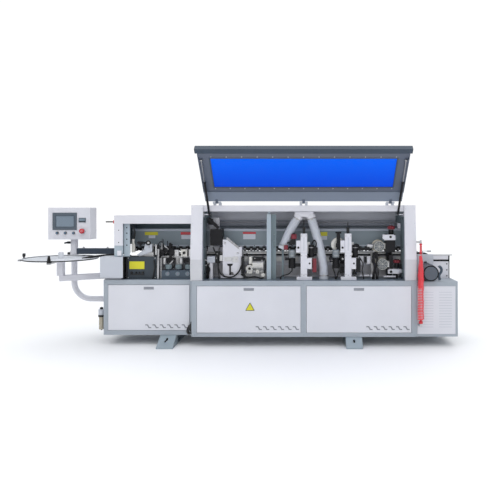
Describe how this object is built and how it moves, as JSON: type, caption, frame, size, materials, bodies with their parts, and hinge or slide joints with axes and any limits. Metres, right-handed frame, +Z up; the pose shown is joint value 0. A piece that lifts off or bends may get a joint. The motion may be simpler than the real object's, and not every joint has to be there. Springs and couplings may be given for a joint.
{
  "type": "edge banding machine",
  "caption": "Through-feed edge banding machine: cabinets on cross feet, hinged hood lid, tape turntable, control box on a mast, trimming and buffing units.",
  "frame": {"origin": "bottom centre of the machine's box, on the floor", "axes": "+X along the feed from infeed to outfeed, -Y towards the front with the doors and lid, +Z up"},
  "size_m": [4.339, 1.1126, 1.9092],
  "materials": {
    "grey_frame": "satin powder coat",
    "white_sheet": "satin powder coat",
    "bed_grey": "satin",
    "slate": "satin",
    "lid_frame": "satin",
    "steel": "machined",
    "black_metal": "satin",
    "motor_grey": "semi gloss",
    "alu": "machined",
    "black_rubber": "matt",
    "black_plastic": "matt",
    "red_plastic": "gloss",
    "red_hose": "gloss",
    "grey_hose": "ribbed",
    "screen": "gloss",
    "blue_window": "tinted acrylic",
    "pale_disc": "satin",
    "cloth": "sewn cotton"
  },
  "bodies": {
    "base": {"base_frame": "grey_frame", "right_side_panel": "white_sheet", "floor_feet": "grey_frame", "hood_cheeks": "white_sheet", "hood_roof": "white_sheet", "middle_post": "grey_frame", "infeed_guard": "white_sheet", "conveyor_bed": "bed_grey", "conveyor_chain": "black_rubber", "guide_bars": "slate", "glue_unit": "slate", "regulator_bank": "slate", "tape_arm": "white_sheet", "mast_tube": "white_sheet", "end_trim_unit": "white_sheet", "rough_trim_unit": "alu", "fine_trim_columns": "white_sheet", "buffing_unit": "alu", "drive_motor": "motor_grey", "air_fittings": "alu", "air_hose": "red_hose", "blow_gun": "black_plastic", "dust_manifold": "white_sheet", "dust_hose_left": "grey_hose", "dust_hose_right": "grey_hose", "lid_hinges": "black_metal", "unit_cables": "black_rubber"},
    "lid": {"lid_shell": "lid_frame", "lid_window": "blue_window", "lid_rail": "slate"},
    "strut_cylinders": {"strut_cylinders": "black_metal"},
    "strut_rods": {"strut_rods": "steel"},
    "pressure_beam": {"pressure_beam": "grey_frame", "pressure_rollers": "black_rubber"},
    "control_box": {"control_box": "white_sheet", "control_screen": "screen"},
    "support_rail": {"support_rail": "alu"},
    "door_left": {"door_left": "white_sheet"},
    "door_middle": {"door_middle": "white_sheet"},
    "door_right": {"door_right": "white_sheet"},
    "main_switch_handle": {"main_switch_handle": "black_plastic"},
    "drive_sprocket": {"drive_sprocket": "steel"},
    "idler_sprocket": {"idler_sprocket": "steel"},
    "glue_roller": {"glue_roller": "steel"},
    "pressing_roller": {"pressing_roller": "black_rubber"},
    "tape_disc": {"tape_disc": "pale_disc"},
    "mast_sleeve": {"mast_sleeve": "white_sheet"},
    "mast_clamp_lever": {"mast_clamp_lever": "black_plastic"},
    "push_button_1": {"push_button_1": "black_plastic"},
    "push_button_2": {"push_button_2": "black_plastic"},
    "push_button_3": {"push_button_3": "black_plastic"},
    "emergency_stop": {"emergency_stop": "red_plastic"},
    "end_trim_head": {"end_trim_head": "black_metal"},
    "end_trim_saw": {"end_trim_saw": "steel"},
    "fine_trim_head_1": {"fine_trim_head_1": "alu"},
    "fine_trim_head_2": {"fine_trim_head_2": "alu"},
    "fine_trim_knob_1": {"fine_trim_knob_1": "black_plastic"},
    "fine_trim_knob_2": {"fine_trim_knob_2": "black_plastic"},
    "buffing_wheel_upper": {"buffing_wheel_upper": "cloth"},
    "buffing_wheel_lower": {"buffing_wheel_lower": "cloth"}
  },
  "joints": [
    {"name": "lid_hinge", "type": "hinge", "parent": "base", "child": "lid", "pos_m": [0.659, -0.088, 1.402], "axis": [1, 0, 0], "range_deg": [0, 131.7]},
    {"name": "strut_swing", "type": "hinge", "parent": "base", "child": "strut_cylinders", "pos_m": [0.659, -0.055, 1.286], "axis": [1, 0, 0], "range_deg": [0, 132.16]},
    {"name": "strut_stroke", "type": "slide", "parent": "strut_cylinders", "child": "strut_rods", "axis": [0, -0.65, 0.7599], "range_m": [-0.22058, 0]},
    {"name": "door_left_lift_off", "type": "slide", "parent": "base", "child": "door_left", "axis": [0, -1, 0], "range_m": [0, 0.25]},
    {"name": "door_middle_lift_off", "type": "slide", "parent": "base", "child": "door_middle", "axis": [0, -1, 0], "range_m": [0, 0.25]},
    {"name": "door_right_lift_off", "type": "slide", "parent": "base", "child": "door_right", "axis": [0, -1, 0], "range_m": [0, 0.25]},
    {"name": "mast_height", "type": "slide", "parent": "base", "child": "mast_sleeve", "axis": [0, 0, 1], "range_m": [0, 0.1]},
    {"name": "control_box_swivel", "type": "hinge", "parent": "mast_sleeve", "child": "control_box", "pos_m": [-1.787, 0.395, 1.019], "axis": [0, 0, 1], "range_deg": [-45, 60]},
    {"name": "mast_clamp_turn", "type": "hinge", "parent": "mast_sleeve", "child": "mast_clamp_lever", "pos_m": [-1.849, 0.395, 0.982], "axis": [1, 0, 0], "range_deg": [0, 90]},
    {"name": "push_button_1_press", "type": "slide", "parent": "control_box", "child": "push_button_1", "axis": [0, 1, 0], "range_m": [0, 0.004], "stiffness_N_per_m": 300},
    {"name": "push_button_2_press", "type": "slide", "parent": "control_box", "child": "push_button_2", "axis": [0, 1, 0], "range_m": [0, 0.004], "stiffness_N_per_m": 300},
    {"name": "push_button_3_press", "type": "slide", "parent": "control_box", "child": "push_button_3", "axis": [0, 1, 0], "range_m": [0, 0.004], "stiffness_N_per_m": 300},
    {"name": "emergency_stop_press", "type": "slide", "parent": "control_box", "child": "emergency_stop", "axis": [0, 1, 0], "range_m": [0, 0.005], "stiffness_N_per_m": 400},
    {"name": "main_switch_turn", "type": "hinge", "parent": "base", "child": "main_switch_handle", "pos_m": [-1.231, 0.015, 1.212], "axis": [1, 0, 0], "range_deg": [0, 90]},
    {"name": "tape_disc_spin", "type": "hinge", "parent": "base", "child": "tape_disc", "pos_m": [-1.749, -0.007, 0.85], "axis": [0, 0, 1], "continuous": true},
    {"name": "pressure_beam_lift", "type": "slide", "parent": "base", "child": "pressure_beam", "axis": [0, 0, 1], "range_m": [0, 0.048]},
    {"name": "glue_roller_spin", "type": "hinge", "parent": "base", "child": "glue_roller", "pos_m": [-0.789, 0.151, 0.9], "axis": [0, 0, 1], "continuous": true},
    {"name": "pressing_roller_spin", "type": "hinge", "parent": "base", "child": "pressing_roller", "pos_m": [-0.686, 0.141, 0.9], "axis": [0, 0, 1], "continuous": true},
    {"name": "end_trim_slide", "type": "slide", "parent": "base", "child": "end_trim_head", "axis": [1, 0, 0], "range_m": [-0.04, 0]},
    {"name": "end_trim_saw_spin", "type": "hinge", "parent": "end_trim_head", "child": "end_trim_saw", "pos_m": [-0.141, 0.093, 1.01], "axis": [1, 0, 0], "continuous": true},
    {"name": "fine_trim_1_height", "type": "slide", "parent": "base", "child": "fine_trim_head_1", "axis": [0, 0, 1], "range_m": [0, 0.012]},
    {"name": "fine_trim_knob_1_turn", "type": "hinge", "parent": "base", "child": "fine_trim_knob_1", "pos_m": [0.665, -0.035, 1.13], "axis": [0, 0, 1], "range_deg": [0, 2161]},
    {"name": "fine_trim_2_height", "type": "slide", "parent": "base", "child": "fine_trim_head_2", "axis": [0, 0, 1], "range_m": [0, 0.012]},
    {"name": "fine_trim_knob_2_turn", "type": "hinge", "parent": "base", "child": "fine_trim_knob_2", "pos_m": [1.1, -0.035, 1.13], "axis": [0, 0, 1], "range_deg": [0, 2161]},
    {"name": "buffing_upper_spin", "type": "hinge", "parent": "base", "child": "buffing_wheel_upper", "pos_m": [1.415, 0.105, 0.967], "axis": [0, 1, 0], "continuous": true},
    {"name": "buffing_lower_spin", "type": "hinge", "parent": "base", "child": "buffing_wheel_lower", "pos_m": [1.447, 0.105, 0.791], "axis": [0, 1, 0], "continuous": true},
    {"name": "drive_sprocket_spin", "type": "hinge", "parent": "base", "child": "drive_sprocket", "pos_m": [1.893, 0.245, 0.792], "axis": [0, 1, 0], "continuous": true},
    {"name": "idler_sprocket_spin", "type": "hinge", "parent": "base", "child": "idler_sprocket", "pos_m": [-0.981, 0.245, 0.792], "axis": [0, 1, 0], "continuous": true},
    {"name": "support_pull_out", "type": "slide", "parent": "base", "child": "support_rail", "axis": [0, 1, 0], "range_m": [0, 0.25]}
  ],
  "couplings": [
    {"joint": "strut_swing", "follows": "lid_hinge", "ratio": 1.002},
    {"joint": "strut_stroke", "follows": "lid_hinge", "m_per_rad": -0.095746},
    {"joint": "idler_sprocket_spin", "follows": "drive_sprocket_spin", "ratio": 1},
    {"joint": "fine_trim_knob_1_turn", "follows": "fine_trim_1_height", "rad_per_m": 3141.6},
    {"joint": "fine_trim_knob_2_turn", "follows": "fine_trim_2_height", "rad_per_m": 3141.6}
  ]
}
